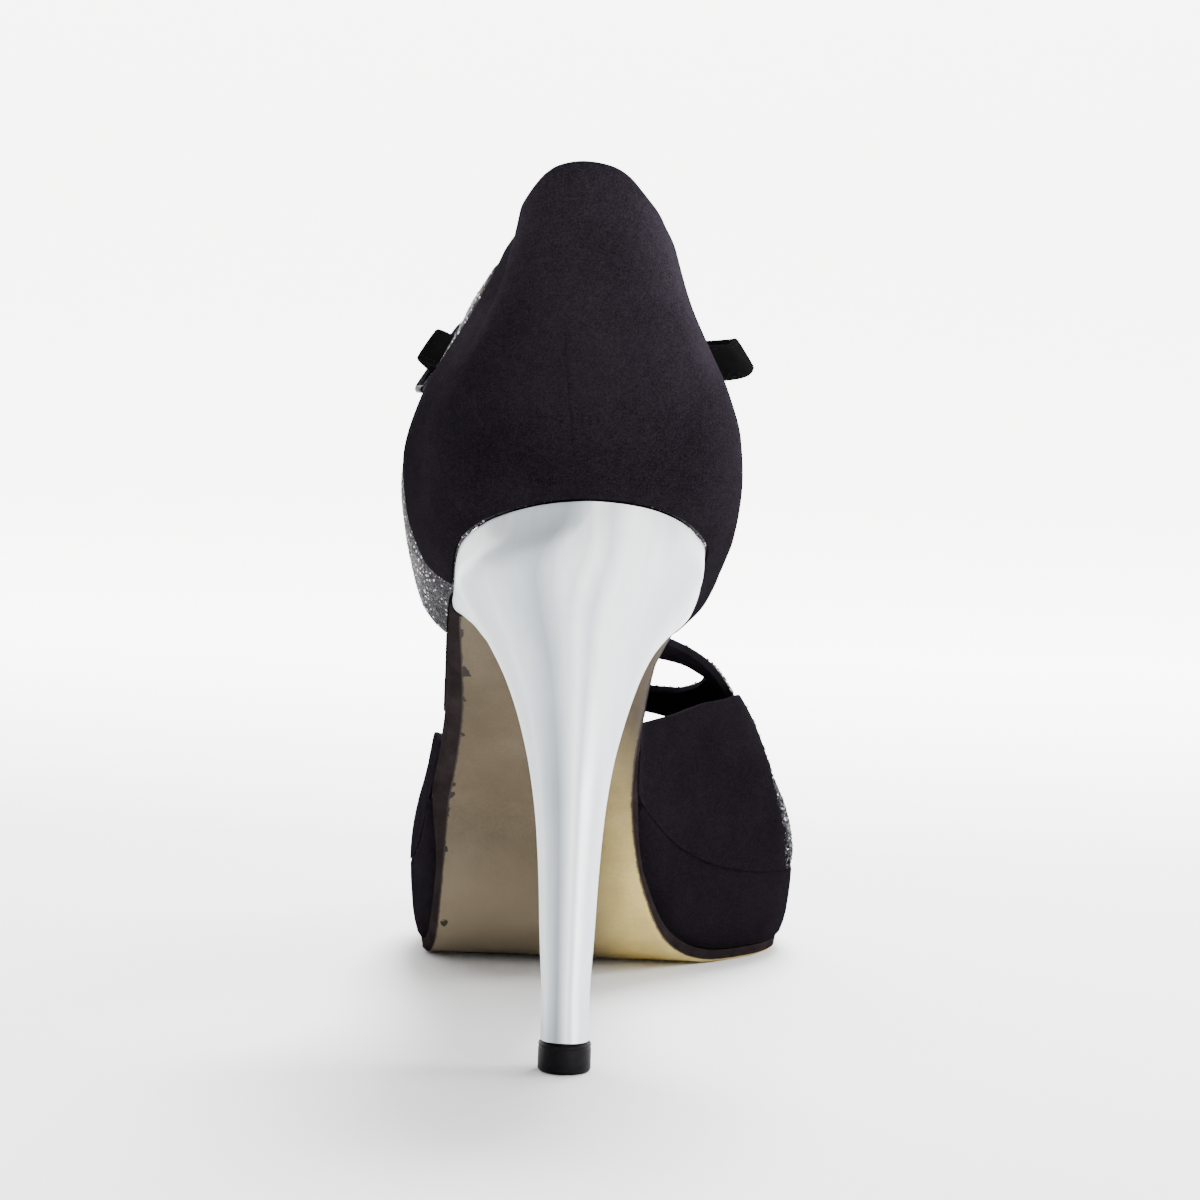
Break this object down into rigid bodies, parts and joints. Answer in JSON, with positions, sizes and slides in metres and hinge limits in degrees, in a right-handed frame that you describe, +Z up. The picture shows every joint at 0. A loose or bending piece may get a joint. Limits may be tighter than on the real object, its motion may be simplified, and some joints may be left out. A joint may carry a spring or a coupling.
{
  "type": "ballroom dance shoe",
  "caption": "High-heeled ballroom sandal with a closed counter, open waist, platform sole, two-band open-toe vamp and a buckled ankle strap.",
  "frame": {"origin": "on the floor, at the middle of the heel tip's underside", "axes": "+Y along the shoe to the toe, +X to the inner (medial) side, +Z up"},
  "size_m": [0.0847, 0.222, 0.1656],
  "materials": {
    "sole_leather": "tan leather with a dark painted edge",
    "suede": "black suede",
    "lining": "smooth black lining leather",
    "heel_silver": "satin silver",
    "rubber": "matt black",
    "glitter": "fine grey glitter cloth",
    "dark_glitter": "coarse dark glitter",
    "strap_leather": "black leather with stitched edges",
    "gunmetal": "dark polished metal"
  },
  "bodies": {
    "root": {"outsole": "sole_leather", "platform": "suede", "insole": "lining", "heel": "heel_silver", "heel_tip": "rubber", "quarter": "glitter", "counter": "suede", "vamp": "dark_glitter", "vamp_panel_medial": "suede", "vamp_panel_lateral": "suede", "ankle_strap": "strap_leather", "buckle_strap": "strap_leather", "buckle": "gunmetal", "buckle_prong": "gunmetal"}
  },
  "joints": []
}
